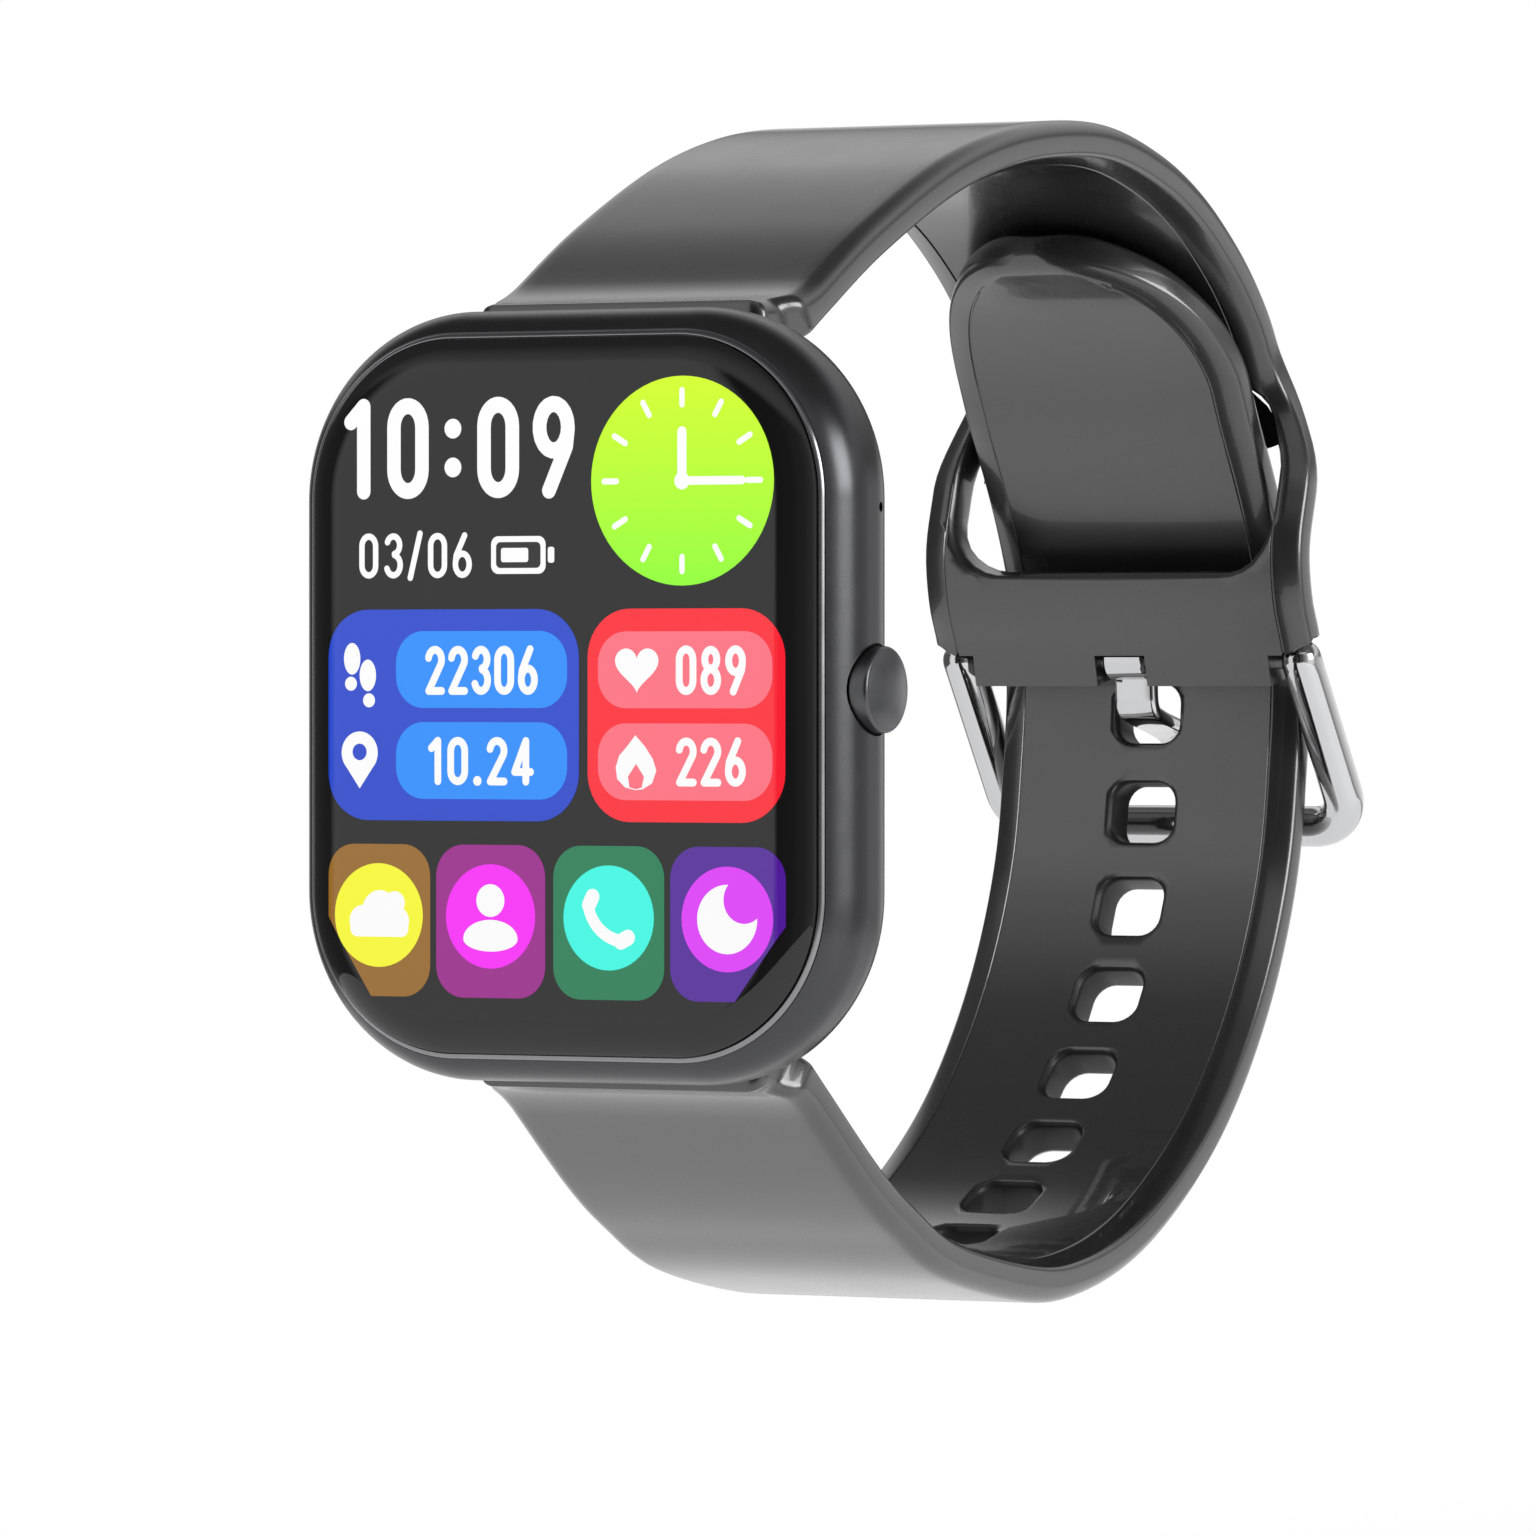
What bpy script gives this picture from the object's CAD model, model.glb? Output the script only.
import math

import bmesh
import bpy
import numpy as np
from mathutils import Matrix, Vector


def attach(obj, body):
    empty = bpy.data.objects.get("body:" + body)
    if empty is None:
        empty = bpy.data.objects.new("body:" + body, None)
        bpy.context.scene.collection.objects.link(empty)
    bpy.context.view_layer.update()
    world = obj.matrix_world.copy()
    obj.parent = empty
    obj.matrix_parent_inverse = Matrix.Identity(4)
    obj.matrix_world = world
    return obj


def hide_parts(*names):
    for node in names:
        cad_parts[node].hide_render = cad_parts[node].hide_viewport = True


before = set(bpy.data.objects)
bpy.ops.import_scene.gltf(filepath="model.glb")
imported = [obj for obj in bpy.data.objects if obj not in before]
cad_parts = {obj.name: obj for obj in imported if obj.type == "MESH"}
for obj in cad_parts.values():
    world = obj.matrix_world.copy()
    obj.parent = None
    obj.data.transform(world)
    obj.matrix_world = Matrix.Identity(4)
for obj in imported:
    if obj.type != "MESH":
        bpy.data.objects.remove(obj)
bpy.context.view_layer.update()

MM = 0.001

# ---- Driving sizes, in millimetres -------------------------------------------------------------
# Depths are behind the flat of the glass, heights are from the middle of the case.

WATCH_T = 10.3
CASE_W, CASE_H, CASE_R = 38.4, 46.3, 11.4
GLASS_INSET, GLASS_RIM, GLASS_LIFT = 1.75, 3.9, 0.05
GLASS_TURN = 42
FLAT_HALF = 14.84
BUTTON_R, BUTTON_DEPTH, BUTTON_UP = 2.6, 5.2, 0.4
BAR_DEPTH, BAR_UP = 7.0, 20
BAND_T = 2.77
LUG_HALF, BAND_HALF = 10, 11
BARREL_R, BARREL_HALF = 1.88, 9.86
TAIL_HALF, TAIL_ROUND = 10.4, 14
HOLES, HOLE_PITCH = 8, 6.7
HOLE_W, HOLE_H, HOLE_R = 4.5, 4.0, 1.3
PIN_DEPTH, PIN_UP, PIN_R = 73.6, 2.3, 0.65
BOW_LEAN = math.radians(34)
BOW_ARM, BOW_BEND, BOW_REACH, BOW_R = 12.55, 2.7, 13.2, 1.335
PRONG_HALF, PRONG_T = 1.49, 0.88

# ---- Materials -------------------------------------------------------------------------------


def new_material(name):
    mat = bpy.data.materials.new(name)
    mat.use_nodes = True
    return mat, mat.node_tree, mat.node_tree.nodes["Principled BSDF"]


def shade(value):
    """An (r, g, b) or a grey value as RGBA."""
    if isinstance(value, (int, float)):
        value = (value, value, value)
    return (*value, 1.0)


def surface(name, color, rough, metallic=0.0, vary=0.06, scale=400.0, bump=0.0, coat=0.0,
            spec=0.5, stretch=(1, 1, 1), rough_vary=0.05):
    """A plain finish with a little procedural variation in colour, roughness and height."""
    mat, tree, bsdf = new_material(name)
    nodes, links = tree.nodes, tree.links
    coords = nodes.new("ShaderNodeTexCoord")
    mapping = nodes.new("ShaderNodeMapping")
    mapping.inputs["Scale"].default_value = stretch
    noise = nodes.new("ShaderNodeTexNoise")
    noise.inputs["Scale"].default_value = scale
    noise.inputs["Detail"].default_value = 4
    links.new(coords.outputs["Object"], mapping.inputs["Vector"])
    links.new(mapping.outputs["Vector"], noise.inputs["Vector"])
    ramp = nodes.new("ShaderNodeValToRGB")
    rgb = shade(color)
    ramp.color_ramp.elements[0].color = shade([c * (1 - vary) for c in rgb[:3]])
    ramp.color_ramp.elements[1].color = shade([min(c * (1 + vary), 1) for c in rgb[:3]])
    ramp.color_ramp.elements[0].position = 0.3
    ramp.color_ramp.elements[1].position = 0.7
    links.new(noise.outputs["Fac"], ramp.inputs["Fac"])
    links.new(ramp.outputs["Color"], bsdf.inputs["Base Color"])
    span = nodes.new("ShaderNodeMapRange")
    span.inputs["To Min"].default_value = max(rough - rough_vary, 0.01)
    span.inputs["To Max"].default_value = min(rough + rough_vary, 1)
    links.new(noise.outputs["Fac"], span.inputs["Value"])
    links.new(span.outputs["Result"], bsdf.inputs["Roughness"])
    bsdf.inputs["Metallic"].default_value = metallic
    bsdf.inputs["Coat Weight"].default_value = coat
    bsdf.inputs["Specular IOR Level"].default_value = spec
    if bump:
        fine = nodes.new("ShaderNodeTexNoise")
        fine.inputs["Scale"].default_value = 6000
        fine.inputs["Detail"].default_value = 3
        links.new(coords.outputs["Object"], fine.inputs["Vector"])
        raised = nodes.new("ShaderNodeBump")
        raised.inputs["Strength"].default_value = bump
        raised.inputs["Distance"].default_value = 0.00004
        links.new(fine.outputs["Fac"], raised.inputs["Height"])
        links.new(raised.outputs["Normal"], bsdf.inputs["Normal"])
    return mat


def glowing(name, top, bottom=None, z_low=-24.0, z_high=24.0, strength=1.0):
    """A lit screen colour under glossy glass, running from one tone to another along Z."""
    mat, tree, bsdf = new_material(name)
    nodes, links = tree.nodes, tree.links
    bottom = bottom or [c * 0.96 for c in top]
    coords = nodes.new("ShaderNodeTexCoord")
    parts = nodes.new("ShaderNodeSeparateXYZ")
    span = nodes.new("ShaderNodeMapRange")
    span.inputs["From Min"].default_value = z_low * MM
    span.inputs["From Max"].default_value = z_high * MM
    ramp = nodes.new("ShaderNodeValToRGB")
    ramp.color_ramp.elements[0].color = shade(linear(bottom))
    ramp.color_ramp.elements[1].color = shade(linear(top))
    links.new(coords.outputs["Object"], parts.inputs["Vector"])
    links.new(parts.outputs["Z"], span.inputs["Value"])
    links.new(span.outputs["Result"], ramp.inputs["Fac"])
    links.new(ramp.outputs["Color"], bsdf.inputs["Emission Color"])
    bsdf.inputs["Emission Strength"].default_value = strength
    bsdf.inputs["Base Color"].default_value = shade(0.004)
    bsdf.inputs["Roughness"].default_value = 0.04
    return mat


def linear(rgb):
    """Screen colours 0-255 as linear light, less what the glass itself reflects."""
    out = []
    for c in rgb:
        c /= 255
        v = c / 12.92 if c <= 0.04045 else ((c + 0.055) / 1.055) ** 2.4
        out.append(max(v - GLASS_SHINE, 0.0))
    return out


GLASS_SHINE = 0.045

SILICONE = surface("silicone", (0.02, 0.0202, 0.0208), 0.27, vary=0.04, scale=260, bump=0.015, spec=1.0,
                   coat=0.6)
CASE = surface("case_metal", (0.074, 0.0752, 0.078), 0.27, metallic=0.92, vary=0.02, scale=700, bump=0.03)
HOLE_WALL = surface("silicone_cut", (0.016, 0.0162, 0.0168), 0.4, vary=0.05, scale=260, bump=0.02, spec=0.35)
BEZEL = surface("bezel_metal", (0.26, 0.262, 0.27), 0.2, metallic=1.0, vary=0.04, scale=500)
GLASS = surface("cover_glass", (0.011, 0.011, 0.0115), 0.03, vary=0.1, scale=90, rough_vary=0.01)
BUTTON = surface("button_metal", (0.11, 0.112, 0.117), 0.3, metallic=0.9, vary=0.04, scale=900, bump=0.1)
CHROME = surface("chrome", (0.62, 0.625, 0.63), 0.08, metallic=1.0, vary=0.02, scale=300, rough_vary=0.02)
BACK = surface("back_plastic", (0.045, 0.045, 0.048), 0.5, vary=0.1, scale=900, bump=0.5)
WINDOW = surface("window", (0.008, 0.008, 0.01), 0.06, vary=0.2, scale=200, rough_vary=0.02)
RUBBER = surface("gasket", (0.02, 0.02, 0.02), 0.7, vary=0.15, scale=900, bump=0.4)
STEEL = surface("steel_tray", (0.55, 0.56, 0.57), 0.32, metallic=1.0, vary=0.06, scale=200,
                stretch=(1, 1, 14))
CAN = surface("motor_steel", (0.6, 0.61, 0.62), 0.28, metallic=1.0, vary=0.06, scale=260, stretch=(12, 1, 1))
SCREW = surface("screw_steel", (0.5, 0.5, 0.52), 0.3, metallic=1.0, vary=0.06, scale=900)
GOLD = surface("gold", (0.85, 0.6, 0.25), 0.25, metallic=1.0, vary=0.05, scale=700)
MIC = surface("mic_brass", (0.7, 0.58, 0.33), 0.35, metallic=1.0, vary=0.05, scale=700)
WEIGHT = surface("tungsten", (0.3, 0.31, 0.32), 0.45, metallic=1.0, vary=0.12, scale=1200, bump=0.3)
CHIP = surface("chip", (0.015, 0.015, 0.017), 0.55, vary=0.15, scale=1200, bump=0.3)
CELL = surface("cell", (0.5, 0.52, 0.55), 0.38, metallic=0.9, vary=0.08, scale=180, bump=0.3)
LEAD = surface("lead", (0.45, 0.03, 0.02), 0.4, vary=0.08, scale=800)
FLEX = surface("flex", (0.5, 0.2, 0.04), 0.35, vary=0.1, scale=600, stretch=(8, 1, 1))
LIGHTS = surface("lights", (0.3, 0.55, 0.3), 0.12, vary=0.08, scale=900)
PANEL = surface("display", (0.01, 0.01, 0.012), 0.15, vary=0.1, scale=400)


def board_material():
    """Green solder mask with paler copper tracks showing through."""
    mat, tree, bsdf = new_material("board")
    nodes, links = tree.nodes, tree.links
    coords = nodes.new("ShaderNodeTexCoord")
    bricks = nodes.new("ShaderNodeTexBrick")
    bricks.inputs["Scale"].default_value = 900
    bricks.inputs["Color1"].default_value = shade((0.012, 0.09, 0.04))
    bricks.inputs["Color2"].default_value = shade((0.014, 0.11, 0.05))
    bricks.inputs["Mortar"].default_value = shade((0.05, 0.2, 0.09))
    bricks.inputs["Mortar Size"].default_value = 0.03
    links.new(coords.outputs["Object"], bricks.inputs["Vector"])
    links.new(bricks.outputs["Color"], bsdf.inputs["Base Color"])
    bsdf.inputs["Roughness"].default_value = 0.35
    return mat


BOARD = board_material()

# ---- Mesh helpers ----------------------------------------------------------------------------


def turn(n):
    """n even angles round a circle."""
    return np.linspace(0, 2 * math.pi, n, endpoint=False)


def turn_outwards(mesh):
    solid = bmesh.new()
    solid.from_mesh(mesh)
    bmesh.ops.recalc_face_normals(solid, faces=solid.faces)
    solid.to_mesh(mesh)
    solid.free()


def new_object(name, verts, faces):
    """A bare mesh object from millimetre vertices in the shared frame."""
    mesh = bpy.data.meshes.new(name)
    mesh.from_pydata([tuple(float(c) * MM for c in v) for v in verts], [], faces)
    obj = bpy.data.objects.new(name, mesh)
    bpy.context.collection.objects.link(obj)
    return obj


def make(name, verts, faces, mat, body=None, nodes=(), slot=None, smooth=35.0):
    """A finished piece from millimetre vertices in the shared frame."""
    return dress(new_object(name, verts, faces), mat, body, nodes, smooth)


def dress(obj, mat, body=None, nodes=(), smooth=35.0):
    """Gives a piece its material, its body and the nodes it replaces."""
    mesh = obj.data
    turn_outwards(mesh)
    mesh.materials.clear()
    mesh.materials.append(mat)
    for poly in mesh.polygons:
        poly.use_smooth = True
    mesh.set_sharp_from_angle(angle=math.radians(smooth))
    if body:
        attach(obj, body)
    if nodes:
        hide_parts(*nodes)
    return obj


def loft(rings, cap=True):
    """Vertices and faces joining closed rings of equal length."""
    n = len(rings[0])
    verts = [p for ring in rings for p in ring]
    faces = []
    for k in range(len(rings) - 1):
        for i in range(n):
            a, b = k * n + i, k * n + (i + 1) % n
            faces.append((a, b, b + n, a + n))
    if cap:
        faces.append(tuple(range(n - 1, -1, -1)))
        faces.append(tuple((len(rings) - 1) * n + i for i in range(n)))
    return verts, faces


def cut(obj, *cutters):
    """obj less the cutters, which are removed."""
    for cutter in cutters:
        mod = obj.modifiers.new("cut", "BOOLEAN")
        mod.operation = "DIFFERENCE"
        mod.solver = "EXACT"
        mod.object = cutter
    bpy.context.view_layer.update()
    graph = bpy.context.evaluated_depsgraph_get()
    mesh = bpy.data.meshes.new_from_object(obj.evaluated_get(graph))
    obj.modifiers.clear()
    obj.data = mesh
    for cutter in cutters:
        bpy.data.objects.remove(cutter)
    return obj


def raw(verts, faces):
    """A plain helper object, for cutting."""
    obj = new_object("cutter", verts, faces)
    turn_outwards(obj.data)
    return obj


def rod(radius, x0, x1, depth, up, n=48, soft=0.0):
    """A rod along X at a depth behind the glass and a height, with softened ends."""
    stations = [(x0, radius - soft), (x0 + soft, radius), (x1 - soft, radius), (x1, radius - soft)]
    if not soft:
        stations = [(x0, radius), (x1, radius)]
    rings = [[(x, depth - WATCH_T + r * math.cos(a), up + r * math.sin(a))
              for a in turn(n)] for x, r in stations]
    return loft(rings)


def outline(w, h, r, seg=24):
    """Points round a rounded rectangle in X and Z."""
    pts = []
    for cx, cz, a0 in ((1, 1, 0), (-1, 1, 90), (-1, -1, 180), (1, -1, 270)):
        for k in range(seg + 1):
            a = math.radians(a0 + 90 * k / seg)
            pts.append((cx * (w / 2 - r) + r * math.cos(a), cz * (h / 2 - r) + r * math.sin(a)))
    return pts


def edged(w, h, r, profile, seg=24):
    """A rounded rectangular body whose edge follows [inset, depth] points."""
    return loft([[(x, d - WATCH_T, z) for x, z in outline(w - 2 * i, h - 2 * i, r - i, seg)]
                 for i, d in profile])


# ---- Curves of the two straps ------------------------------------------------------------------

UPPER = [(7, 20), (10.3, 21.8), (14, 24), (20.5, 27.6), (29.6, 31.6), (37.5, 33.8), (45, 34.7),
         (51.5, 34.6), (57.8, 33.2), (62.5, 31.3), (66.4, 28.9), (69.6, 26.3), (72.3, 23.2),
         (73.9, 19.6), (73.6, 16.5), (72.5, 13), (71.6, 9.5), (72, 6.2), (73.1, 3.6), (73.8, 0.9)]
LOWER = [(7, -20), (10.2, -21.8), (13.6, -24.4), (19.8, -29.2), (24.2, -31.9), (30.2, -34.6),
         (40.8, -36.5), (47.3, -36.3), (53.9, -34.6), (60, -31.5), (65.5, -27.4), (70, -22.4),
         (73.5, -16.8), (75.9, -10.7), (77, -4.3), (77.4, 0), (77.2, 3.5), (76.5, 7.2),
         (75, 11), (73.1, 14.6), (71.1, 17.9), (69.5, 20.9), (67.5, 23.4), (64.8, 25.9), (62.2, 27.6),
         (59.7, 28.9)]


def smooth_curve(points, n):
    """A curve through the points, with n steps between each two."""
    p = [np.array(q, float) for q in points]
    last = len(p) - 1
    out = []
    for i in range(last):
        a, b, c, d = p[max(i - 1, 0)], p[i], p[i + 1], p[min(i + 2, last)]
        for j in range(n):
            t = j / n
            out.append(0.5 * (2 * b + (c - a) * t + (2 * a - 5 * b + 4 * c - d) * t * t
                              + (3 * b - a - 3 * c + d) * t ** 3))
    out.append(p[last])
    return np.array(out)


class Line:
    """A strap's middle line: place and outward direction at a length along it."""

    def __init__(self, points, side):
        self.points = smooth_curve(points, 24)
        steps = np.linalg.norm(np.diff(self.points, axis=0), axis=1)
        self.s = np.concatenate([[0], np.cumsum(steps)])
        self.length = self.s[-1]
        self.side = side

    def at(self, s):
        return np.array([np.interp(s, self.s, self.points[:, k]) for k in (0, 1)])

    def out(self, s):
        d = self.at(min(s + 0.5, self.length)) - self.at(max(s - 0.5, 0))
        d = d / np.linalg.norm(d)
        return self.side * np.array([-d[1], d[0]])

    def where(self, s, x, n):
        """The frame point at length s, across x and n outwards from the middle line."""
        p = self.at(s) + self.out(s) * n
        if s < 0:
            d = self.at(0.5) - self.at(0)
            p = p + d / np.linalg.norm(d) * s
        return (x, p[0] - WATCH_T, p[1])

    def height_at(self, up, start):
        """The length beyond start at which the middle line passes a height."""
        s = np.linspace(start, self.length, 4000)
        z = np.interp(s, self.s, self.points[:, 1])
        return float(s[np.argmin(abs(z - up))])


upper, lower = Line(UPPER, 1), Line(LOWER, -1)


def ramp(x):
    """A smooth step from 0 to 1."""
    t = min(max(x, 0), 1)
    return t * t * (3 - 2 * t)


def shoulder(s):
    """Half width near the case, where the band widens from the lugs to its full width."""
    return LUG_HALF + (BAND_HALF - LUG_HALF) * ramp((s - 3.6) / 1.8)


def upper_half(s):
    """Half width of the upper strap, which widens round the slot."""
    if s < 60:
        return shoulder(s)
    return BAND_HALF + 2.9 * ramp((22.8 - upper.at(s)[1]) / 9.5)


FIRST_HOLE = lower.height_at(-1.3, 90)


def lower_half(s):
    """Half width of the lower strap, which ends in a rounded tail."""
    left = lower.length - s
    if left < TAIL_ROUND:
        return TAIL_HALF * math.sqrt(max(1 - (1 - left / TAIL_ROUND) ** 2, 0.0016))
    return min(shoulder(s), BAND_HALF - 0.6 * ramp((s - FIRST_HOLE - 2) / 8))


def section(half, t, end=99.0):
    """Cross-section of the band: rounded outer edges, bevels and a fine groove line inside.
    end is the distance to a rounded end, where the edges thin out and the groove fades."""
    half -= 0.01
    t *= 0.2 + 0.8 * math.sqrt(1 - (1 - min(end / 1.4, 1)) ** 2)
    groove = 0.09 * ramp((end - 2) / 3) + 0.004
    r = min(1.1, half * 0.5, t * 0.45)
    h = t / 2
    right = [(half - r + r * math.cos(a), h - r + r * math.sin(a))
             for a in np.linspace(0, math.pi / 2, 9)]
    wide = min(1.8, half * 0.5)
    r2 = min(0.45, half * 0.3, t * 0.2)
    lip = -h + t * 0.15
    inner = [(half - wide - 0.16, -h), (half - wide - 0.1, -h + groove), (half - wide, -h + groove),
             (half - wide + 0.07, -h + 0.005), (half - wide * 0.6, -h + t * 0.04)]
    inner += [(half - r2 + r2 * math.sin(a), lip + r2 - r2 * math.cos(a))
              for a in np.linspace(0.25, math.pi / 2, 6)]
    across = np.linspace(1, -1, 27)[1:-1]
    face = [(x * (half - r), h) for x in across]
    back = [(-x * (half - wide - 0.16), -h) for x in across]
    return right + face + [(-x, y) for x, y in reversed(right)] + \
        [(-x, y) for x, y in reversed(inner)] + back + inner


def collar(s):
    """Raised collar on the outside of a strap, just behind the case."""
    return 1.47 * ramp((s - 1.2) / 1.4) * (1 - min(max((s - 2.6) / 5.5, 0), 1)) ** 2


def stations(total, fine_from):
    """Places along a strap, closer together at the collar and near a rounded end."""
    s = list(np.arange(0, 8, 0.25)) + list(np.arange(8, fine_from, 0.8))
    t = np.linspace(0, 1, 40)
    return s + [fine_from + (total - fine_from) * (1 - (1 - v) ** 2) for v in t]


def strap(line, halves, places, rounded=False):
    rings = []
    for s in places:
        end = line.length - s if rounded else 99.0
        rings.append([line.where(s, x, n + (collar(s) if n > 0 else 0))
                      for x, n in section(halves(s), BAND_T, end)])
    return loft(rings)


def hole_cutter(line, s0, pts, flare=0.35):
    """A cutter through the strap with softened rims; pts are [across, along] from s0."""
    rings = []
    cx = sum(p[0] for p in pts) / len(pts)
    cs = sum(p[1] for p in pts) / len(pts)
    h = BAND_T / 2
    levels = [(-h - 0.6, flare * 1.5), (-h - 0.02, flare), (-h + 0.1, flare * 0.5),
              (-h + flare * 0.8, 0.04), (-h + flare * 1.3, 0), (h - flare * 1.3, 0),
              (h - flare * 0.8, 0.04), (h - 0.1, flare * 0.5), (h + 0.02, flare), (h + 0.6, flare * 1.5)]
    for n, grow in levels:
        ring = []
        for x, s in pts:
            d = math.hypot(x - cx, s - cs) or 1
            ring.append(line.where(s0 + s + (s - cs) / d * grow, x + (x - cx) / d * grow, n))
        rings.append(ring)
    return raw(*loft(rings))


def convex(points):
    """Convex outline of 2-D points, anticlockwise."""
    pts = sorted(set((round(a, 5), round(b, 5)) for a, b in points))

    def half(seq):
        out = []
        for p in seq:
            while len(out) > 1 and (out[-1][0] - out[-2][0]) * (p[1] - out[-2][1]) \
                    - (out[-1][1] - out[-2][1]) * (p[0] - out[-2][0]) <= 0:
                out.pop()
            out.append(p)
        return out[:-1]
    return half(pts) + half(pts[::-1])


def even(ring, count):
    """The same closed outline with evenly spaced points."""
    pts = np.array(ring + ring[:1])
    s = np.concatenate([[0], np.cumsum(np.linalg.norm(np.diff(pts, axis=0), axis=1))])
    at = np.linspace(0, s[-1], count, endpoint=False)
    return [tuple(p) for p in np.column_stack([np.interp(at, s, pts[:, k]) for k in (0, 1)])]


# ---- Band ---------------------------------------------------------------------------------------


def joined(name, parts, mat, **how):
    """Several closed meshes as one piece."""
    verts, faces = [], []
    for v, f in parts:
        base = len(verts)
        verts += list(v)
        faces += [tuple(i + base for i in face) for face in f]
    return make(name, verts, faces, mat, **how)


def add_barrel(obj, up):
    """Adds the round end of a strap, which the spring bar runs through."""
    verts, faces = rod(BARREL_R, -BARREL_HALF, BARREL_HALF, BAR_DEPTH, up, soft=0.25)
    solid = bmesh.new()
    solid.from_mesh(obj.data)
    new = [solid.verts.new(tuple(c * MM for c in v)) for v in verts]
    for face in faces:
        solid.faces.new([new[i] for i in face])
    solid.to_mesh(obj.data)
    solid.free()


def build_lower_strap():
    """The lower strap: a row of holes and a rounded tail."""
    obj = raw(*strap(lower, lower_half, stations(lower.length, lower.length - TAIL_ROUND - 1), True))
    places = [FIRST_HOLE - i * HOLE_PITCH for i in range(HOLES)]
    hole = outline(HOLE_W, HOLE_H, HOLE_R, 6)
    obj = cut(obj, *[hole_cutter(lower, s, hole, 0.4) for s in places])
    add_barrel(obj, -BAR_UP)
    obj.name = "lower_strap_skin"
    dress(obj, SILICONE, "lower_strap", ["lower_strap"], 38)
    darken_holes(obj, places)
    return obj


def darken_holes(obj, places):
    """Gives the walls of the holes the duller finish of cut silicone."""
    reach_flat, reach_round, square_on = 2.6 * MM, 3.4 * MM, 0.8
    obj.data.materials.append(HOLE_WALL)
    for s in places:
        middle = np.array(lower.where(s, 0, 0)) * MM
        along = np.array(lower.where(s + 0.5, 0, 0)) * MM - middle
        along /= np.linalg.norm(along)
        for face in obj.data.polygons:
            gap = np.array(face.center) - middle
            if max(abs(gap[0]), abs(gap @ along)) < reach_flat and np.linalg.norm(gap) < reach_round:
                normal = np.array(face.normal)
                if math.hypot(normal[0], normal @ along) > square_on:
                    face.material_index = 1


def build_upper_strap():
    """The upper strap: the slot for the tail, and the bar that carries the buckle."""
    obj = raw(*strap(upper, upper_half, stations(upper.length, upper.length - 2)))
    circles = []
    for cx, cz, r in ((8.3, 11.5, 3.5), (7.8, 14, 4.0), (7.6, 17.4, 3.2)):
        for side in (-1, 1):
            circles += [(side * cx + r * math.cos(a), cz + r * math.sin(a)) for a in turn(40)]
    rim = even(convex(circles), 72)
    top = upper.height_at(20.6, 60)
    fit = [(x, upper.height_at(z, 60) - top) for x, z in rim]
    slot = hole_cutter(upper, top, fit, 0.5)
    room, notch_half, bar_half, past = 1.66, 1.85, 10.9, 15
    rooms = []
    for x0, x1 in ((-notch_half, notch_half), (-past, -bar_half), (bar_half, past)):
        rooms += [raw(*rod(room, x0, x1, PIN_DEPTH, PIN_UP)),
                  box_mesh((x0, x1), (69, 79), (-3, PIN_UP))]
    obj = cut(obj, slot, *rooms)
    add_barrel(obj, BAR_UP)
    obj.name = "upper_strap_skin"
    return dress(obj, SILICONE, "upper_strap", ["upper_strap"], 38)


def box_mesh(x, depth, up):
    """A box for cutting, between two places on each axis."""
    y = [d - WATCH_T for d in depth]
    verts = [(a, b, c) for a in x for b in y for c in up]
    faces = [(0, 1, 3, 2), (4, 6, 7, 5), (0, 4, 5, 1), (2, 3, 7, 6), (0, 2, 6, 4), (1, 5, 7, 3)]
    return raw(verts, faces)


# ---- Buckle -------------------------------------------------------------------------------------

def at_pin(x, along, off):
    """A point on the leaning bow: along from the pin and off square to it."""
    depth = PIN_DEPTH + along * math.sin(BOW_LEAN) + off * math.cos(BOW_LEAN)
    up = PIN_UP - along * math.cos(BOW_LEAN) + off * math.sin(BOW_LEAN)
    return np.array((x, depth - WATCH_T, up))


def build_bow():
    """The chrome bow: a round bar bent in a U, its ends rounded over the pin."""
    arm, bend, reach, r = BOW_ARM, BOW_BEND, BOW_REACH, BOW_R
    path = [(arm, t) for t in np.linspace(0, reach - bend, 14)]
    path += [(arm - bend + bend * math.cos(a), reach - bend + bend * math.sin(a))
             for a in np.linspace(0, math.pi / 2, 16)[1:]]
    half_way = len(path) + 1
    path += [(x, reach) for x in np.linspace(arm - bend, -(arm - bend), 12)[1:-1]]
    path += [(-x, t) for x, t in reversed(path[:half_way])]
    pts = [at_pin(x, t, 0) for x, t in path]
    off = at_pin(0, 0, 1) - at_pin(0, 0, 0)
    rings = []
    for i, p in enumerate(pts):
        d = pts[min(i + 1, len(pts) - 1)] - pts[max(i - 1, 0)]
        d /= np.linalg.norm(d)
        across = np.cross(d, off)
        rings.append([p + r * (math.cos(a) * off + math.sin(a) * across)
                      for a in turn(40)])
    for end, at in ((0, pts[0]), (-1, pts[-1])):
        d = pts[0] - pts[1] if end == 0 else pts[-1] - pts[-2]
        d /= np.linalg.norm(d)
        caps = []
        for a in np.linspace(0, math.pi / 2, 8)[1:]:
            k = max(math.cos(a), 0.02)
            caps.append([at + (q - at) * k + d * r * math.sin(a) for q in rings[end]])
        rings = caps[::-1] + rings if end == 0 else rings + caps
    obj = raw(*loft(rings))
    obj = cut(obj, raw(*rod(PIN_R, -13.3, 13.3, PIN_DEPTH, PIN_UP)))
    obj.name = "buckle_bow_skin"
    return dress(obj, CHROME, "buckle_bow", ["buckle_bow"], 40)


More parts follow.
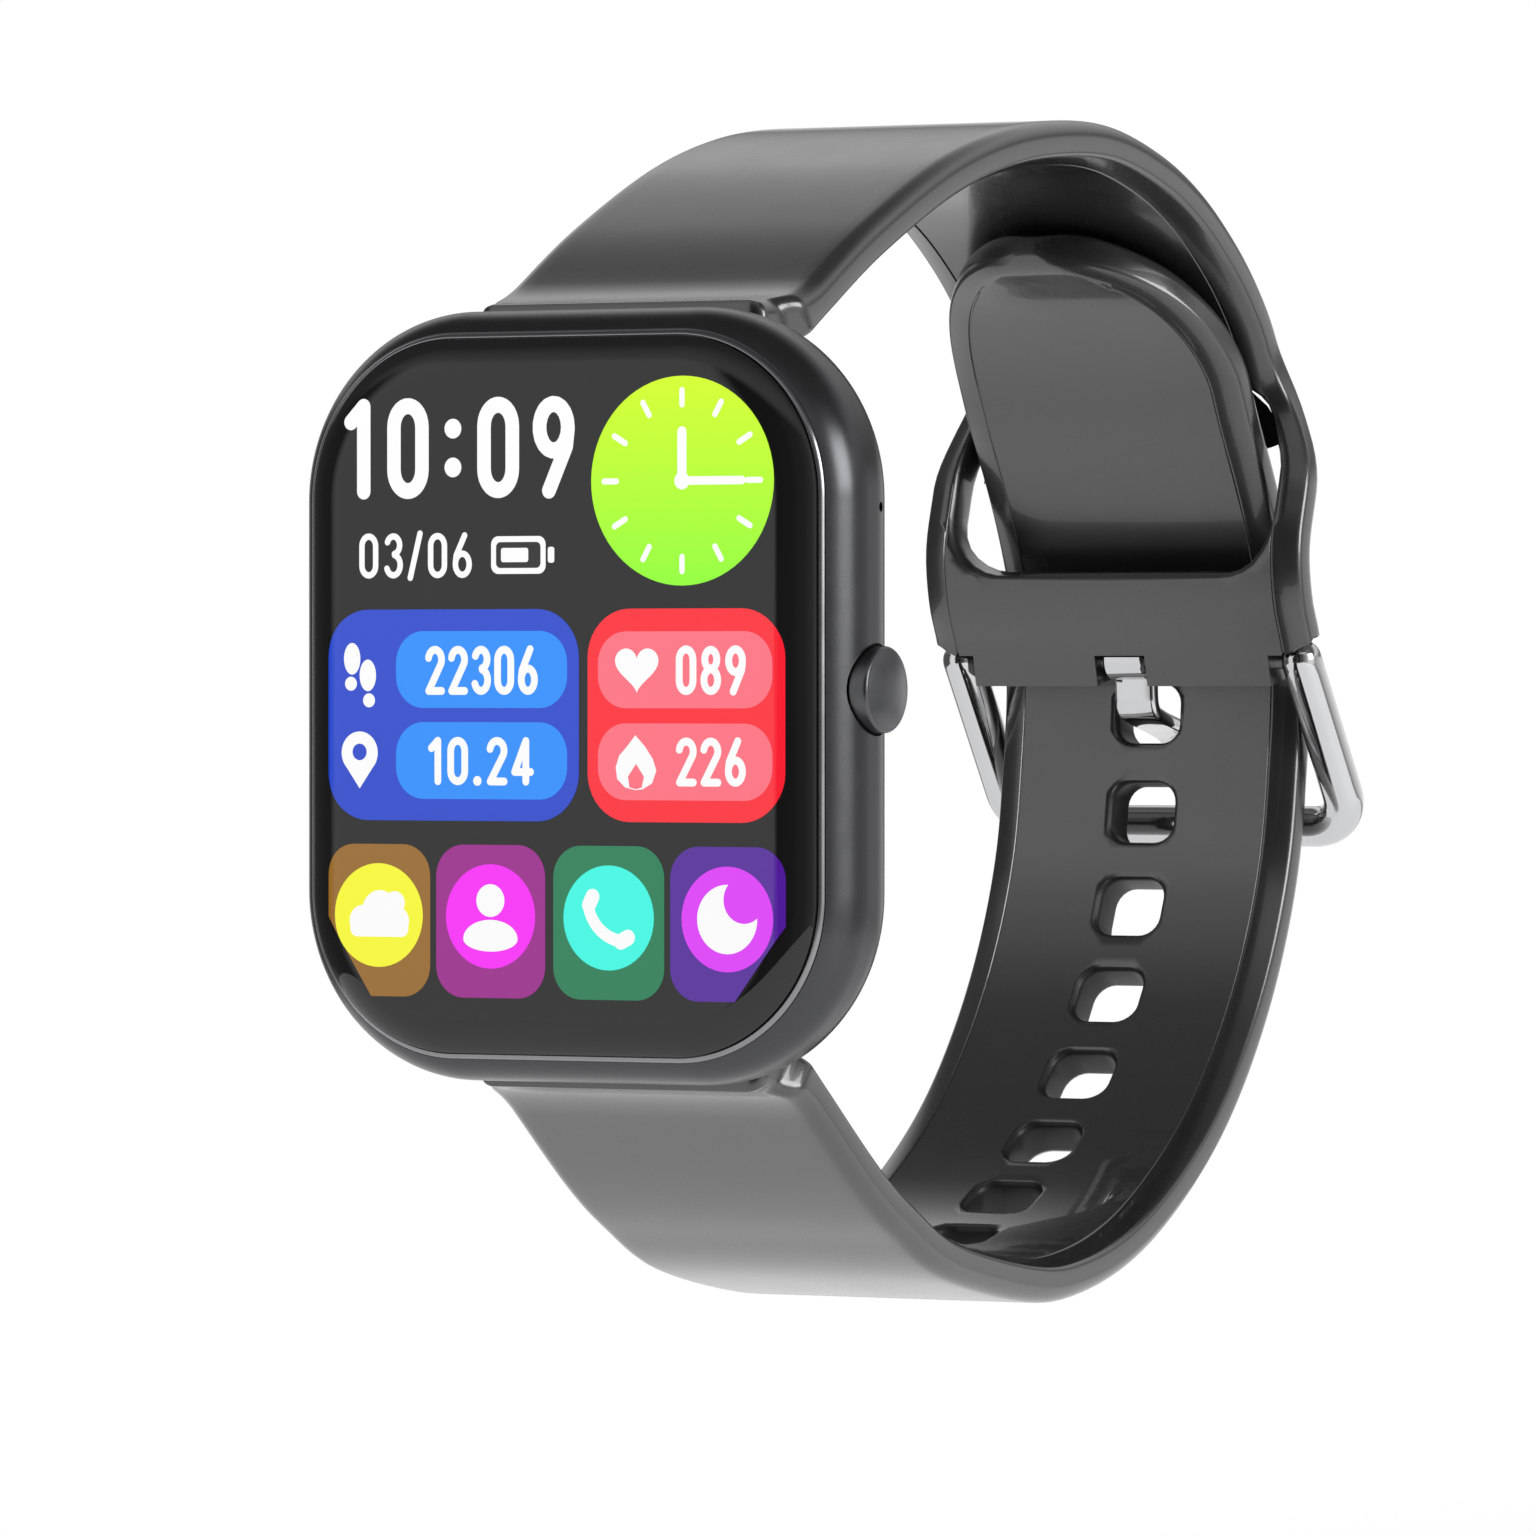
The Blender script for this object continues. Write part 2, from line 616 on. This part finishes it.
def build_prong():
    """The prong: a flat strip from the eye on the pin, through its hole and over the bow."""
    path = [(0.6, 0.7), (-1.4, 0.8), (-3.1, 1.05), (-3.75, 2.2), (-4.5, 5.3), (-5.3, 7.3), (-7.4, 9.1),
            (-9.4, 9.42), (-11.38, 9.5)]
    line = smooth_curve([(b, a) for a, b in path], 8)
    rings = []
    for i, p in enumerate(line):
        d = line[min(i + 1, len(line) - 1)] - line[max(i - 1, 0)]
        d /= np.linalg.norm(d)
        n = np.array([-d[1], d[0]])
        end = min(1.0, (len(line) - 1 - i) / 6 + 0.3)
        ring = []
        for x, y in outline(2 * PRONG_HALF * math.sqrt(end), PRONG_T, 0.3, 5):
            q = p + n * y
            ring.append((x, PIN_DEPTH + q[0] - WATCH_T, PIN_UP + q[1]))
        rings.append(ring)
    eye = rod(1.29, -PRONG_HALF, PRONG_HALF, PIN_DEPTH, PIN_UP, soft=0.2)
    return joined("buckle_prong_skin", [loft(rings), eye], CHROME, body="buckle_prong",
                  nodes=["buckle_prong"], slot="chrome", smooth=40)


# ---- Case, glass and button ----------------------------------------------------------------------

def side_profile():
    """Edge of the case between its two seams, as [inset, depth]."""
    r, seam, side_front, side_back = 3.6, 1.5, 4.3, 5.2
    low = math.asin((side_front - seam) / r)
    front = [(r - r * math.cos(a), side_front + r * math.sin(a)) for a in np.linspace(-low, 0, 16)]
    back = [(r - r * math.cos(a), side_back + r * math.sin(a)) for a in np.linspace(0, low, 16)]
    return [(front[0][0] + 0.08, seam)] + front + back + [(back[-1][0] + 0.06, 8.0)]


def plate(w, h, r, d0, d1):
    """A rounded plate for cutting, between two depths."""
    return raw(*edged(w, h, r, [(0, d0), (0, d1)]))


def lug_cutter(side):
    """Room for one end of the band: a round seat and a way out."""
    room, rise = 2.2, math.radians(29)
    arc_pts = [(room * math.cos(a), room * math.sin(a)) for a in np.linspace(math.pi, 2 * math.pi, 24)]
    pts = arc_pts + [(room, 0.3), (room - 0.2, 0.5), (room - 0.2, 12), (0.2 - room, 12),
                     (0.2 - room, 0.5), (-room, 0.3)]
    rings = []
    for x in (-10.3, 10.3):
        ring_pts = []
        for a, b in pts:
            up = a * math.cos(rise) + b * math.sin(rise)
            depth = -a * math.sin(rise) + b * math.cos(rise)
            ring_pts.append((x, BAR_DEPTH + depth - WATCH_T, side * (BAR_UP + up)))
        rings.append(ring_pts)
    return raw(*loft(rings))


def build_case():
    """The metal case, open front and back, with holes for the button, microphone and speaker."""
    obj = raw(*edged(CASE_W, CASE_H, CASE_R, side_profile(), 40))
    obj = cut(obj, plate(35.0, 42.9, 9.65, 1.0, 1.75))
    obj = cut(obj, plate(32.6, 40.5, 8.4, 1.2, 3.0))
    obj = cut(obj, plate(33.2, 32.8, 5, 2, 9))
    obj = cut(obj, lug_cutter(1), lug_cutter(-1))
    cutters = [raw(*rod(BUTTON_R + 0.15, 18.0, 22, BUTTON_DEPTH, BUTTON_UP, 64)),
               raw(*rod(1.05, 15, 19, BUTTON_DEPTH, BUTTON_UP)),
               raw(*rod(0.3, 15, 22, 5.8, 11.2, 24))]
    cutters += [raw(*rod(0.45, -22, -15, 5.4, up, 24)) for up in (-2.4, 0, 2.4)]
    obj = cut(obj, *cutters)
    obj.name = "case_frame_skin"
    return dress(obj, CASE, "case", ["case_frame"], 30)


def build_bezel():
    profile = [(1.7, 1.22), (1.66, 1.2), (1.62, 1.21), (1.42, 1.4), (1.41, 1.49), (1.7, 1.5), (1.7, 1.22)]
    rings = [[(x, d - WATCH_T, z) for x, z in outline(CASE_W - 2 * i, CASE_H - 2 * i, CASE_R - i, 40)]
             for i, d in profile]
    return make("bezel_ring_skin", *loft(rings, cap=False), BEZEL, "case", ["bezel_ring"],
                "bezel_metal", 50)


def build_glass():
    """The cover glass, flat in the middle and rounded down at its rim."""
    out = GLASS_RIM * math.sin(math.radians(GLASS_TURN))
    profile = []
    for a in np.radians(np.linspace(0, GLASS_TURN, 22)):
        profile.append((GLASS_INSET + out - GLASS_RIM * math.sin(a),
                        GLASS_LIFT + GLASS_RIM - GLASS_RIM * math.cos(a)))
    edge = GLASS_INSET + 0.02
    profile[-1] = (edge, profile[-1][1])
    profile.append((edge, 1.6))
    return make("cover_glass_skin", *edged(CASE_W, CASE_H, CASE_R, profile, 40), GLASS, "case",
                ["cover_glass"], "cover_glass", 30)


def build_button():
    """The button: a round cap with a domed face."""
    r = BUTTON_R
    base, rim, dome = 18.75, 19.95, 0.42
    profile = [(base, r - 0.02), (rim - 0.25, r - 0.02)]
    profile += [(rim - 0.25 + 0.25 * math.sin(a), r - 0.27 + 0.25 * math.cos(a))
                for a in np.linspace(0.2, math.pi / 2, 7)]
    profile += [(rim + dome * 0.97 * (1 - (q / (r * 0.9)) ** 2), q)
                for q in np.linspace(r * 0.88, 0.02, 16)]
    rings = [[(x, BUTTON_DEPTH - WATCH_T + q * math.cos(a), BUTTON_UP + q * math.sin(a))
              for a in turn(72)] for x, q in profile]
    return make("button_cap_skin", *loft(rings), BUTTON, "button", ["button_cap"], "button_metal", 30)


# ---- Screen picture ------------------------------------------------------------------------------

FACE = {}


def colour(key, top, bottom=None, low=-24.0, high=24.0):
    """The glowing material of one screen colour, made once."""
    if key not in FACE:
        FACE[key] = glowing("screen_" + key, top, bottom, low, high)
    return FACE[key]


def drape(obj):
    """Lays a flat picture piece over the glass where that starts to curve away at the sides."""
    solid = bmesh.new()
    solid.from_mesh(obj.data)
    for x in (14.9, 15.15, 15.4, 15.65, 15.85):
        for side in (-1, 1):
            geom = solid.verts[:] + solid.edges[:] + solid.faces[:]
            bmesh.ops.bisect_plane(solid, geom=geom, dist=1e-7, plane_co=(side * x * MM, 0, 0),
                                   plane_no=(1, 0, 0))
    for v in solid.verts:
        over = max(abs(v.co.x) / MM - FLAT_HALF, 0)
        v.co.y += (GLASS_RIM - math.sqrt(GLASS_RIM ** 2 - over ** 2)) * MM
    for face in solid.faces:
        if face.normal.y > 0:
            face.normal_flip()
    solid.to_mesh(obj.data)
    solid.free()
    for poly in obj.data.polygons:
        poly.use_smooth = False


def keep_side(pts, p, q):
    """The part of a polygon on the left of the line from p to q."""
    out = []

    def left(a):
        return (q[0] - p[0]) * (a[1] - p[1]) - (q[1] - p[1]) * (a[0] - p[0])
    for a, b in zip(pts, pts[1:] + pts[:1]):
        la, lb = left(a), left(b)
        if la >= 0:
            out.append(a)
        if (la >= 0) != (lb >= 0):
            t = la / (la - lb)
            out.append((a[0] + (b[0] - a[0]) * t, a[1] + (b[1] - a[1]) * t))
    return out


class Screen:
    """Flat shapes on the face plane, gathered by colour and layer."""

    def __init__(self):
        self.shapes = {}

    def add(self, key, layer, pts):
        self.shapes.setdefault((key, layer), []).append(pts)

    def rect(self, key, layer, x0, x1, z0, z1, r):
        self.add(key, layer, [((x0 + x1) / 2 + x, (z0 + z1) / 2 + z)
                              for x, z in outline(x1 - x0, z1 - z0, r, 10)])

    def disc(self, key, layer, x, z, rx, rz=None, n=48):
        rz = rz or rx
        self.add(key, layer, [(x + rx * math.cos(a), z + rz * math.sin(a))
                              for a in turn(n)])

    def stroke(self, key, layer, pts, width):
        """A line of even width with round ends and joints."""
        for p in pts:
            self.disc(key, layer, p[0], p[1], width / 2, n=20)
        for p, q in zip(pts, pts[1:]):
            d = np.array(q) - np.array(p)
            size = np.linalg.norm(d)
            if size < 1e-6:
                continue
            n = np.array([-d[1], d[0]]) / size * width / 2
            self.add(key, layer, [tuple(np.array(p) + n), tuple(np.array(p) - n),
                                  tuple(np.array(q) - n), tuple(np.array(q) + n)])

    def build(self):
        """Makes one piece of each colour and layer, each layer a hair in front of the last."""
        front, layer_step, shape_step = 0.042, 0.008, 0.00002
        order = {"tile": 1, "pill": 2, "mark": 3, "top": 4}
        for (key, layer), shapes in self.shapes.items():
            y = front - layer_step * order[layer] - WATCH_T
            verts, faces = [], []
            for k, pts in enumerate(shapes):
                base = len(verts)
                lift = shape_step * (k % 60)
                verts += [(x, y - lift, z) for x, z in pts]
                faces.append(tuple(base + i for i in range(len(pts))))
            obj = make("screen_%s_%s" % (layer, key), verts, faces, FACE[key], "case", (), "display", 30)
            drape(obj)


def arc(cx, cz, rx, rz, a0, a1, n=14):
    """Points on an ellipse between two angles in degrees."""
    return [(cx + rx * math.cos(math.radians(a)), cz + rz * math.sin(math.radians(a)))
            for a in np.linspace(a0, a1, n)]


def ring(cz, rz, a0=0, a1=360, rx=0.24, n=20):
    """An arc of a digit, centred across it."""
    return arc(0.3, cz, rx, rz, a0, a1, n)


# Strokes of each digit, in units of its height, after its width.
STADIUM = ring(0.72, 0.22, 0, 180, n=14) + ring(0.28, 0.22, 180, 360, n=14) + [(0.54, 0.72)]
GLYPHS = {
    "0": (0.6, [STADIUM]),
    "1": (0.4, [[(0.06, 0.78), (0.28, 0.94), (0.28, 0.06)]]),
    "2": (0.58, [ring(0.73, 0.21, 170, -28) + [(0.07, 0.06), (0.54, 0.06)]]),
    "3": (0.58, [ring(0.74, 0.2, 160, -80, 0.22) + ring(0.29, 0.23, 80, -160)]),
    "4": (0.62, [[(0.44, 0.06), (0.44, 0.94), (0.06, 0.27), (0.6, 0.27)]]),
    "5": (0.58, [[(0.5, 0.94), (0.12, 0.94), (0.1, 0.54)] + ring(0.33, 0.27, 125, -150)]),
    "6": (0.6, [ring(0.3, 0.24), [(0.06, 0.32), (0.09, 0.5), (0.38, 0.95)]]),
    "7": (0.56, [[(0.06, 0.94), (0.52, 0.94), (0.2, 0.06)]]),
    "8": (0.6, [ring(0.73, 0.2, rx=0.21), ring(0.29, 0.23)]),
    "9": (0.6, [ring(0.7, 0.24), [(0.54, 0.68), (0.51, 0.5), (0.22, 0.05)]]),
    ":": (0.26, [[(0.13, 0.3)], [(0.13, 0.7)]]),
    ".": (0.22, [[(0.11, 0.07)]]),
    "/": (0.44, [[(0.05, 0.0), (0.39, 1.0)]]),
}


def write(scr, key, text, box, weight, gap=0.16):
    """Digits filling a box (x0, x1, z0, z1) on the face."""
    x0, x1, z0, z1 = box
    total = sum(GLYPHS[c][0] for c in text) + gap * (len(text) - 1)
    k = (x1 - x0) / total
    high = z1 - z0
    x = 0.0
    for c in text:
        wide, strokes = GLYPHS[c]
        for pts in strokes:
            size = weight * (1.25 if len(pts) == 1 else 1)
            scr.stroke(key, "top", [(x0 + (x + px) * k, z0 + pz * high) for px, pz in pts], size)
        x += wide + gap


def build_screen():
    """The picture on the display: time, date, charge, two tiles of figures and four icons."""
    scr = Screen()
    colour("ground", (69, 69, 70), (66, 66, 67))
    colour("white", (255, 255, 255), (250, 250, 250))
    colour("dial", (216, 255, 60), (150, 255, 72), 6.5, 19.0)
    colour("blue", (72, 94, 212), (64, 86, 200))
    colour("blue_pill", (70, 153, 255), (68, 148, 250))
    colour("red", (255, 70, 78), (250, 66, 76))
    colour("red_pill", (255, 128, 143), (252, 120, 134))
    tones = {"orange": ((162, 120, 69), (255, 255, 75)), "magenta": ((165, 67, 152), (255, 68, 255)),
             "green": ((68, 139, 103), (84, 255, 235)), "purple": ((101, 67, 165), (230, 82, 255))}
    for key, (dark, bright) in tones.items():
        colour(key, dark)
        colour(key + "_disc", bright)
    # Clock
    cx, cz = 8.9, 12.75
    scr.disc("dial", "tile", cx, cz, 6.25, 6.2, 72)
    for i in range(12):
        a = math.radians(30 * i)
        pts = [(cx + q * math.sin(a), cz + q * math.cos(a)) for q in (4.5, 5.35)]
        scr.stroke("white", "pill", pts, 0.36)
    scr.stroke("white", "mark", [(cx, cz), (cx, cz + 2.9)], 0.62)
    scr.stroke("white", "mark", [(cx, cz), (cx + 4.1, cz)], 0.5)
    scr.disc("white", "mark", cx, cz, 0.52)
    # Time, date and charge
    write(scr, "white", "10:09", (-14.4, 1.3, 11.95, 17.75), 0.95, 0.34)
    write(scr, "white", "03/06", (-13.5, -5.7, 7.1, 9.75), 0.38, 0.26)
    scr.rect("white", "pill", -4.3, -0.5, 7.3, 9.55, 0.5)
    scr.rect("ground", "mark", -3.95, -0.85, 7.65, 9.2, 0.3)
    scr.rect("white", "top", -3.6, -1.7, 8.0, 8.85, 0.15)
    scr.rect("white", "pill", -0.35, 0.1, 7.95, 8.9, 0.15)
    # Two big tiles
    scr.rect("blue", "tile", -15.85, 1.8, -7.45, 5.2, 2.9)
    scr.rect("red", "tile", 2.4, 15.85, -7.45, 5.2, 2.9)
    for z0 in (-0.7, -6.15):
        scr.rect("blue_pill", "pill", -10.98, 0.99, z0, z0 + 4.6, 1.9)
        scr.rect("red_pill", "pill", 3.12, 15.05, z0, z0 + 4.55, 1.9)
    write(scr, "white", "22306", (-8.8, -1.15, 0.15, 2.95), 0.47, 0.26)
    write(scr, "white", "10.24", (-8.6, -1.5, -5.25, -2.5), 0.47, 0.26)
    write(scr, "white", "089", (8.6, 13.15, 0.15, 2.95), 0.47, 0.26)
    write(scr, "white", "226", (8.6, 13.15, -5.25, -2.5), 0.47, 0.26)
    draw_icons(scr)
    # Bottom row
    boxes = {"orange": (-15.85, -8.58), "magenta": (-8.16, -0.54), "green": (0.02, 7.68),
             "purple": (8.09, 15.88)}
    for key, (x0, x1) in boxes.items():
        mid = (x0 + x1) / 2
        pts = [(mid + x, -13.45 + z) for x, z in outline(x1 - x0, 9.15, 1.9, 10)]
        if key == "orange":
            pts = keep_side(pts, (-15.88, -13.2), (-12.9, -17.8))
        if key == "purple":
            pts = keep_side(pts, (12.5, -18.0), (15.92, -13.5))
        scr.add(key, "tile", pts)
        scr.disc(key + "_disc", "pill", mid, -13.15, 3.12)
    draw_small(scr, {k: (a + b) / 2 for k, (a, b) in boxes.items()})
    scr.build()


def draw_icons(scr):
    """Small pictures beside the figures: steps, place, heart and flame."""
    for x, z, tilt in ((-14.2, 1.9, 0.12), (-12.85, 0.9, -0.12)):
        scr.disc("white", "mark", x + tilt, z + 0.35, 0.58, 0.95)
        scr.disc("white", "mark", x + 0.3 * tilt, z - 1.15, 0.42, 0.42)
    scr.disc("white", "mark", -13.55, -3.4, 1.28)
    scr.add("white", "mark", [(-14.72, -3.95), (-13.55, -5.55), (-12.38, -3.95)])
    scr.disc("blue", "top", -13.55, -3.35, 0.5)
    heart = [(5.8 + 1.5 * math.sin(t) ** 3,
              1.75 + 0.092 * (13 * math.cos(t) - 5 * math.cos(2 * t) - 2 * math.cos(3 * t)
                              - math.cos(4 * t)))
             for t in turn(40)]
    scr.add("white", "mark", heart)
    flame = [(5.7, -2.3), (6.35, -2.95), (6.9, -3.7), (7.15, -4.4), (6.85, -5.15), (6.2, -5.5), (5.7, -5.55),
             (5.0, -5.4), (4.45, -4.9), (4.35, -4.2), (4.6, -3.5), (5.1, -3.0)]
    scr.add("white", "mark", flame)
    scr.add("red_pill", "top", [(5.75, -4.0), (6.3, -4.75), (6.15, -5.4), (5.75, -5.5), (5.3, -5.4),
                                (5.2, -4.75)])


def draw_small(scr, mid):
    """Weather, person, call and night pictures on the bottom row."""
    z = -13.15
    x = mid["orange"]
    for dx, dz, r in ((-1.1, -0.35, 0.95), (0.1, 0.25, 1.25), (1.25, -0.35, 0.9), (1.15, 0.75, 0.7)):
        scr.disc("white", "mark", x + dx, z + dz, r)
    scr.rect("white", "mark", x - 2.0, x + 2.1, z - 1.3, z - 0.3, 0.48)
    x = mid["magenta"]
    scr.disc("white", "mark", x, z + 0.95, 0.98)
    shoulders = arc(x, z - 1.35, 1.9, 1.15, 0, 180, 20) + arc(x, z - 1.35, 1.9, 0.75, 180, 360, 20)
    scr.add("white", "mark", shoulders)
    x = mid["green"]
    scr.stroke("white", "mark", arc(x + 1.25, z + 1.2, 2.7, 2.6, 190, 262, 14), 0.75)
    scr.stroke("white", "mark", [(x - 1.35, z + 0.75), (x - 1.1, z + 1.25)], 0.95)
    scr.stroke("white", "mark", [(x + 0.85, z - 1.4), (x + 1.35, z - 1.15)], 0.95)
    x = mid["purple"]
    moon = arc(x, z, 2.05, 2.05, 88, 362, 34) + arc(x + 1.15, z + 1.15, 1.4, 1.4, -50, -220, 18)
    scr.add("white", "mark", moon)


# ---- Put it together -----------------------------------------------------------------------------

build_case()
build_bezel()
build_glass()
build_button()
build_upper_strap()
build_lower_strap()
build_bow()
build_prong()
build_screen()

CARRIED = {
    "front_gasket": RUBBER, "display_panel": PANEL,
    "display_tray": STEEL, "display_flex": FLEX, "main_board": BOARD, "shield_can": CAN,
    "board_chips": CHIP, "battery": CELL, "battery_lead": LEAD, "motor_can": CAN,
    "motor_rotor": WEIGHT, "speaker": CHIP, "microphone": MIC, "back_cover": BACK,
    "back_gasket": RUBBER, "sensor_window": WINDOW, "sensor_board": BOARD, "sensor_lights": LIGHTS,
    "charging_contacts": GOLD, "back_screws": SCREW, "button_stem": SCREW, "button_seal": RUBBER,
    "button_clip": SCREW, "button_switch": CHIP, "buckle_pin": SCREW,
}
for end in ("upper", "lower"):
    for part in ("bar_tube", "bar_spring", "bar_tip_left", "bar_tip_right"):
        CARRIED["%s_%s" % (end, part)] = SCREW
for name, mat in CARRIED.items():
    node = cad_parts[name]
    node.data.materials.clear()
    node.data.materials.append(mat)

# ---- Floor, light and camera -----------------------------------------------------------------------

FLOOR_Z, FLOOR_HALF, FLOOR_FRONT, FLOOR_BACK = -120, 330, -300, 500
floor = make("floor", [(-FLOOR_HALF, FLOOR_FRONT, FLOOR_Z), (FLOOR_HALF, FLOOR_FRONT, FLOOR_Z),
                       (FLOOR_HALF, FLOOR_BACK, FLOOR_Z), (-FLOOR_HALF, FLOOR_BACK, FLOOR_Z)],
             [(0, 1, 2, 3)], surface("floor_white", 0.8, 0.6, vary=0.01, scale=20))
floor_bsdf = floor.data.materials[0].node_tree.nodes["Principled BSDF"]
floor_bsdf.inputs["Emission Color"].default_value = shade(1.0)
floor_bsdf.inputs["Emission Strength"].default_value = 0.6


# Grey tones of the studio as [degrees, value]: round the horizon from the front, and from the front
# up over the top to the back.
ROUND = [(-180, 1), (-138, 1), (-122, 0.12), (-58, 0.1), (-46, 1), (-22, 1), (-15, 0.02), (14, 0.02),
         (22, 0.08), (33, 0.1), (53, 0.4), (70, 1), (95, 1), (110, 0.45), (150, 0.8), (165, 1)]
OVER = [(-180, 1), (-170, 0.4), (-155, 0.25), (-120, 0.55), (-60, 0.6), (0, 0.9), (45, 0.65), (66, 0.2),
        (118, 0.1), (143, 0.9), (156, 0.6), (167, 0.2), (174, 0.25), (180, 1)]


def sums(tree, operation, first, second):
    """A maths node on two sockets, or on a socket and a number."""
    node = tree.nodes.new("ShaderNodeMath")
    node.operation = operation
    tree.links.new(first, node.inputs[0])
    if isinstance(second, (int, float)):
        node.inputs[1].default_value = second
    else:
        tree.links.new(second, node.inputs[1])
    return node.outputs[0]


def spread(tree, value, start, stop):
    """A value that runs from 0 at start to 1 at stop."""
    span = tree.nodes.new("ShaderNodeMapRange")
    span.inputs["From Min"].default_value = start
    span.inputs["From Max"].default_value = stop
    tree.links.new(value, span.inputs["Value"])
    return span.outputs["Result"]


def tones(tree, angle, stops):
    """The grey tone at an angle in radians."""
    ramp_node = tree.nodes.new("ShaderNodeValToRGB")
    elements = ramp_node.color_ramp.elements
    while len(elements) < len(stops):
        elements.new(0.5)
    for element, (deg, value) in zip(elements, stops):
        element.position = (deg + 180) / 360
    for element, (deg, value) in zip(elements, stops):
        element.color = shade(value)
    tree.links.new(spread(tree, angle, -math.pi, math.pi), ramp_node.inputs["Fac"])
    return ramp_node.outputs["Color"]


def sky():
    """A white studio with dark strips round the front and overhead, for the glossy parts to pick up."""
    world = bpy.data.worlds.new("studio")
    bpy.context.scene.world = world
    world.use_nodes = True
    tree = world.node_tree
    coords = tree.nodes.new("ShaderNodeTexCoord")
    parts = tree.nodes.new("ShaderNodeSeparateXYZ")
    tree.links.new(coords.outputs["Generated"], parts.inputs["Vector"])
    x, y, z = (parts.outputs[axis] for axis in "XYZ")
    front = sums(tree, "MULTIPLY", y, -1)
    # Away from the horizon the second set of tones takes over, sooner at the back than at the front.
    tilt = sums(tree, "MULTIPLY", y, 0.25)
    start, stop = 0.3, 0.42
    high = spread(tree, sums(tree, "ADD", z, tilt), start, stop)
    low = spread(tree, sums(tree, "SUBTRACT", z, tilt), -start, -stop)
    mix = tree.nodes.new("ShaderNodeMix")
    mix.data_type = "RGBA"
    tree.links.new(sums(tree, "MAXIMUM", high, low), mix.inputs["Factor"])
    tree.links.new(tones(tree, sums(tree, "ARCTAN2", x, front), ROUND), mix.inputs["A"])
    tree.links.new(tones(tree, sums(tree, "ARCTAN2", z, front), OVER), mix.inputs["B"])
    background = tree.nodes["Background"]
    tree.links.new(mix.outputs["Result"], background.inputs["Color"])
    background.inputs["Strength"].default_value = 1.0


sky()


def area(name, place, size, watts):
    """A square soft light that faces the watch."""
    light = bpy.data.lights.new(name, "AREA")
    light.size = size
    light.energy = watts
    obj = bpy.data.objects.new(name, light)
    bpy.context.collection.objects.link(obj)
    obj.location = place
    aim = Vector((0, 0.03, 0)) - Vector(place)
    obj.rotation_euler = aim.to_track_quat("-Z", "Y").to_euler()
    return obj


area("right", (0.8, -0.05, 0.25), 0.4, 3.2)

cam_data = bpy.data.cameras.new("camera")
cam = bpy.data.objects.new("camera", cam_data)
bpy.context.collection.objects.link(cam)
bpy.context.scene.camera = cam
cam_data.sensor_width = 36
cam_data.lens = 246.1
cam_data.clip_start = 0.02
cam_data.clip_end = 20
AZ, YAW, PITCH = math.radians(31), math.radians(1.175), math.radians(0.469)
CAMERA_UP, CAMERA_AWAY = 0.85, 0.625
target = Vector((0, -WATCH_T, CAMERA_UP)) * MM
cam.location = target + Vector((math.sin(AZ), -math.cos(AZ), 0)) * CAMERA_AWAY
heading = AZ - YAW
look = Vector((-math.sin(heading) * math.cos(PITCH), math.cos(heading) * math.cos(PITCH), -math.sin(PITCH)))
cam.rotation_euler = look.to_track_quat("-Z", "Y").to_euler()
bpy.context.scene.view_settings.view_transform = "Standard"
